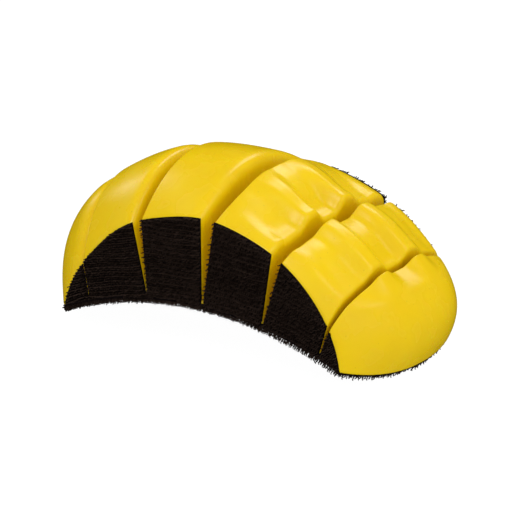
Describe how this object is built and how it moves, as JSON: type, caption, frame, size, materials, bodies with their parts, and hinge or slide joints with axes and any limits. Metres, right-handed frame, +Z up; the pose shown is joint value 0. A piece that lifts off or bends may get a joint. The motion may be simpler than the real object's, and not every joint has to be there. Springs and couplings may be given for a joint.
{
  "type": "flexible grout float block",
  "caption": "Flexible arched hand block of soft foam for washing off grout, slit into lobes that bend on the sole, with finger grooves and hook fabric on sole and sides.",
  "frame": {"origin": "middle of the block's length and width, on the surface its two ends stand on", "axes": "+X along the length, towards the end with the finger grooves; +Z up, from the sole to the hand surface"},
  "size_m": [0.1378, 0.07, 0.0601],
  "materials": {
    "foam_skin": "satin",
    "hook_cloth": "matte"
  },
  "bodies": {
    "lobe_1": {"lobe_1_foam": "foam_skin", "lobe_1_facing": "hook_cloth"},
    "lobe_2": {"lobe_2_foam": "foam_skin", "lobe_2_facing": "hook_cloth", "hinge_1_foam": "foam_skin", "hinge_1_facing": "hook_cloth"},
    "lobe_3": {"lobe_3_foam": "foam_skin", "lobe_3_facing": "hook_cloth", "hinge_2_foam": "foam_skin", "hinge_2_facing": "hook_cloth", "hinge_3_foam": "foam_skin", "hinge_3_facing": "hook_cloth"},
    "lobe_4": {"lobe_4_foam": "foam_skin", "lobe_4_facing": "hook_cloth", "hinge_4_foam": "foam_skin", "hinge_4_facing": "hook_cloth"},
    "lobe_5": {"lobe_5_foam": "foam_skin", "lobe_5_facing": "hook_cloth", "hinge_5_foam": "foam_skin", "hinge_5_facing": "hook_cloth"},
    "lobe_6": {"lobe_6_foam": "foam_skin", "lobe_6_facing": "hook_cloth"}
  },
  "joints": [
    {"name": "flex_2", "type": "hinge", "parent": "lobe_3", "child": "lobe_2", "pos_m": [-0.02012, 0, 0.01684], "axis": [0, 1, 0], "range_deg": [-8, 7.5], "stiffness_Nm_per_rad": 0.6, "deforming": ["hinge_2_foam", "hinge_2_facing"]},
    {"name": "flex_1", "type": "hinge", "parent": "lobe_2", "child": "lobe_1", "pos_m": [-0.04327, 0, 0.01109], "axis": [0, 1, 0], "range_deg": [-8, 1], "stiffness_Nm_per_rad": 0.6, "deforming": ["hinge_1_foam", "hinge_1_facing"]},
    {"name": "flex_3", "type": "hinge", "parent": "lobe_3", "child": "lobe_4", "pos_m": [0.0018, 0, 0.01777], "axis": [0, -1, 0], "range_deg": [-8, 9], "stiffness_Nm_per_rad": 0.6, "deforming": ["hinge_3_foam", "hinge_3_facing"]},
    {"name": "flex_4", "type": "hinge", "parent": "lobe_4", "child": "lobe_5", "pos_m": [0.02511, 0, 0.01562], "axis": [0, -1, 0], "range_deg": [-8, 8.5], "stiffness_Nm_per_rad": 0.6, "deforming": ["hinge_4_foam", "hinge_4_facing"]},
    {"name": "flex_5", "type": "hinge", "parent": "lobe_5", "child": "lobe_6", "pos_m": [0.047, 0, 0.00974], "axis": [0, -1, 0], "range_deg": [-8, 5], "stiffness_Nm_per_rad": 0.6, "deforming": ["hinge_5_foam", "hinge_5_facing"]}
  ]
}
